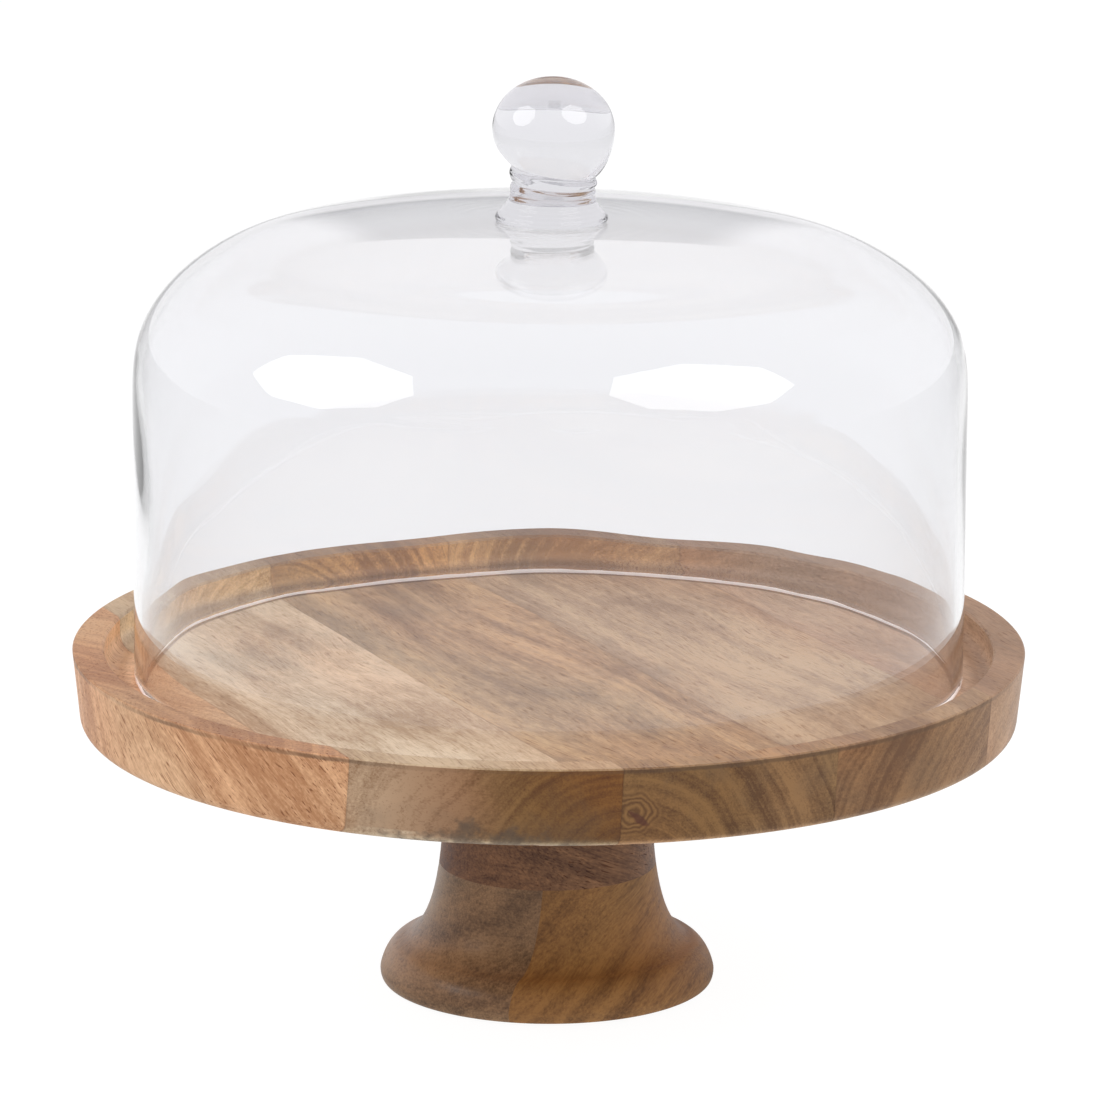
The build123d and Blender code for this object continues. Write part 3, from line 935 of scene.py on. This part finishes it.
def pale_sweep():
    """White paper lit from below. In reflections only a runway behind the stand stays bright."""
    recipe = Recipe("pale_sweep")
    x, y, _ = recipe.parts(recipe.place)
    aside = recipe.maths("ABSOLUTE", x)
    near_middle = recipe.band(aside, RUNWAY_HALF_WIDTH, 3 * RUNWAY_HALF_WIDTH, 1.0, 0.0)
    runway = recipe.maths("MULTIPLY", near_middle, recipe.band(y, -TRAY_RADIUS, 3 * TRAY_RADIUS))
    mirrored = recipe.maths("MULTIPLY_ADD", runway, FLOOR_GLOW - DIM_FLOOR_GLOW, DIM_FLOOR_GLOW)
    path = recipe.add("ShaderNodeLightPath").outputs
    in_mirror = recipe.maths("LESS_THAN", path["Is Transmission Ray"], path["Is Glossy Ray"])
    dimming = recipe.maths("MULTIPLY", in_mirror, recipe.maths("SUBTRACT", mirrored, FLOOR_GLOW))
    light = recipe.glow(recipe.maths("ADD", dimming, FLOOR_GLOW))
    paper = recipe.add("ShaderNodeBsdfDiffuse", {"Color": rgba((FLOOR_ALBEDO,) * 3)}).outputs[0]
    return recipe.finish(recipe.add("ShaderNodeAddShader", {0: light, 1: paper}).outputs[0])


def polygon(name, points, material):
    """One flat stage object from its corners."""
    data = bpy.data.meshes.new(name)
    data.from_pydata(points, [], [list(range(len(points)))])
    data.materials.append(material)
    piece = bpy.data.objects.new(name, data)
    bpy.context.scene.collection.objects.link(piece)
    return piece


def make_floor():
    """Plain pale sweep, lit from below like a light table so that it stays near white."""
    half = FLOOR_SIZE / 2
    corners = [(-half, -half, 0), (half, -half, 0), (half, half, 0), (-half, half, 0)]
    polygon("floor", corners, pale_sweep())


def make_softbox(name, azimuth, elevation, strength):
    """Eight-sided softbox that faces the dome. Azimuth goes from the camera's side towards +X, in degrees."""
    turn = math.radians(azimuth)
    rise = math.radians(elevation)
    outward = Vector((math.sin(turn) * math.cos(rise), -math.cos(turn) * math.cos(rise), math.sin(rise)))
    target = Vector((0, 0, SHOULDER_START))
    facing = outward.to_track_quat("Z", "Y")
    corners = []
    for step in range(8):
        angle = math.tau * (step + 0.5) / 8
        offset = Vector((math.cos(angle), math.sin(angle), 0)) * SOFTBOX_RADIUS
        corners.append(target + outward * SOFTBOX_DISTANCE + facing @ offset)
    box = polygon(name, corners, softbox_cloth(f"{name}_cloth", strength))
    box.visible_camera = False
    box.visible_transmission = False
    return box


ROOM_BEHIND = (0.95, 0.94, 0.97)
ROOM_IN_FRONT = (0.42, 0.41, 0.46)
ROOM_OPENING = (0.40, 0.395, 0.42)  # dim gap in the backdrop, which the dome's crown mirrors
OPENING_HALF_WIDTH = 0.075  # tangent of the azimuth
LEAST_Y = 0.01  # keeps that tangent finite beside and behind the camera
OPENING_LOW = 0.035  # sines of the elevation
OPENING_HIGH = 0.282
OPENING_EDGE = 0.004
FRONT_END = -0.25  # Y of the direction where the room starts to brighten
BACK_START = 0.55  # and where it is fully bright
SEEN_THROUGH_GLASS = (1.0, 1.0, 1.0)


def make_room():
    """Studio round the sweep: bright behind with a dim opening, and dimmer behind the camera."""
    world = bpy.data.worlds.new("studio")
    bpy.context.scene.world = world
    world.use_nodes = True
    room = Recipe("studio", world.node_tree)
    x, y, z = room.parts(room.add("ShaderNodeTexCoord").outputs["Generated"])
    colour = room.mix(room.band(y, FRONT_END, BACK_START), rgba(ROOM_IN_FRONT), rgba(ROOM_BEHIND))
    aside = room.maths("ABSOLUTE", room.maths("DIVIDE", x, room.maths("MAXIMUM", y, LEAST_Y)))
    opening = room.band(aside, OPENING_HALF_WIDTH * 0.8, OPENING_HALF_WIDTH * 1.2, 1.0, 0.0)
    opening = room.maths("MULTIPLY", opening, room.band(z, OPENING_LOW, 2 * OPENING_LOW))
    below_top = room.band(z, OPENING_HIGH - OPENING_EDGE, OPENING_HIGH + OPENING_EDGE, 1.0, 0.0)
    opening = room.maths("MULTIPLY", opening, below_top)
    colour = room.mix(opening, colour, rgba(ROOM_OPENING))
    path = room.add("ShaderNodeLightPath").outputs
    colour = room.mix(path["Is Transmission Ray"], colour, rgba(SEEN_THROUGH_GLASS))
    background = room.add("ShaderNodeBackground", {"Color": colour}).outputs[0]
    room.add("ShaderNodeOutputWorld", {"Surface": background})


def make_camera():
    """Long lens, from in front and a little above."""
    data = bpy.data.cameras.new("camera")
    data.lens = CAMERA_LENS
    data.clip_end = 100
    camera = bpy.data.objects.new("camera", data)
    bpy.context.scene.collection.objects.link(camera)
    camera.location = (CAMERA_SIDE, -CAMERA_BACK, CAMERA_HEIGHT)
    looking = Euler((math.pi / 2 - CAMERA_PITCH, 0, 0)).to_matrix()
    rolled = looking @ Euler((0, 0, CAMERA_ROLL)).to_matrix()
    camera.rotation_euler = rolled.to_euler()
    bpy.context.scene.camera = camera


make_camera()
make_room()
make_floor()
make_softbox("softbox_left", azimuth=-72, elevation=38, strength=SOFTBOX_GLOW)
make_softbox("softbox_right", azimuth=55.5, elevation=48, strength=SOFTBOX_GLOW)
make_softbox("front_fill", azimuth=0, elevation=25, strength=FILL_GLOW).visible_glossy = False
finish_wood()
make_glass()
finish_hidden_parts()
bpy.context.scene.view_settings.view_transform = "Standard"
